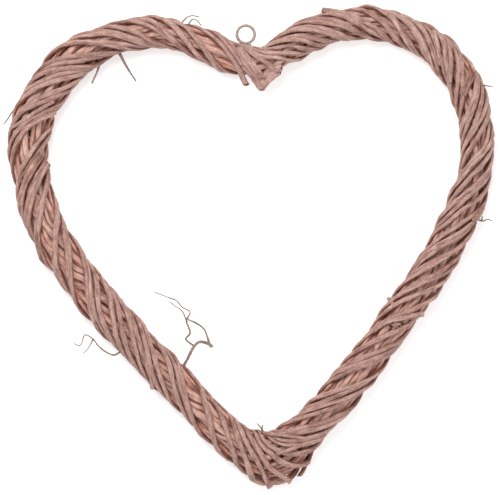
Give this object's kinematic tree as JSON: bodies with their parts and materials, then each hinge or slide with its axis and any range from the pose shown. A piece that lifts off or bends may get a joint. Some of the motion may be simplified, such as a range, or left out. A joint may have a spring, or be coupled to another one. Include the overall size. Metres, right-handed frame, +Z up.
{
  "type": "willow heart",
  "caption": "Open heart wound from willow rods round a bundle of paler rods, brushed with a dusty rose finish, with a small wire ring at the top for hanging.",
  "frame": {"origin": "middle of the bounding box, on the surface that the heart lies on", "axes": "+Z up out of the surface, through the heart's thickness; +Y from the lower tip towards the cleft and the hanging ring; +X to the right seen from above"},
  "size_m": [0.4032, 0.396, 0.0312],
  "materials": {
    "rose_willow": "satin",
    "pale_willow": "satin",
    "ring_wire": "satin",
    "bare_twig": "matte"
  },
  "bodies": {
    "root": {"winding_rod_01": "rose_willow", "winding_rod_02": "rose_willow", "winding_rod_03": "rose_willow", "winding_rod_04": "rose_willow", "winding_rod_05": "rose_willow", "winding_rod_06": "rose_willow", "winding_rod_07": "rose_willow", "winding_rod_08": "rose_willow", "winding_rod_09": "rose_willow", "winding_rod_10": "rose_willow", "winding_rod_11": "rose_willow", "winding_rod_12": "rose_willow", "winding_rod_13": "rose_willow", "winding_rod_14": "rose_willow", "winding_rod_15": "rose_willow", "winding_rod_16": "rose_willow", "winding_rod_17": "rose_willow", "winding_rod_18": "rose_willow", "winding_rod_19": "rose_willow", "winding_rod_20": "rose_willow", "winding_rod_21": "rose_willow", "winding_rod_22": "rose_willow", "winding_rod_23": "rose_willow", "winding_rod_24": "rose_willow", "inner_rod_01": "pale_willow", "inner_rod_02": "pale_willow", "inner_rod_03": "pale_willow", "inner_rod_04": "pale_willow", "inner_rod_05": "pale_willow", "hanging_ring": "ring_wire", "forked_twig_inside_left": "bare_twig", "curly_twig_outside_left": "bare_twig", "thorn_under_left_lobe": "bare_twig", "shoot_under_left_lobe": "bare_twig", "shoot_outside_left_lobe": "bare_twig", "shoot_on_left_lobe": "bare_twig", "shoot_on_left_lobe_2": "bare_twig", "shoot_outside_right_lobe": "bare_twig", "shoot_outside_right_arm": "bare_twig", "shoot_at_inner_corner": "bare_twig"}
  },
  "joints": []
}
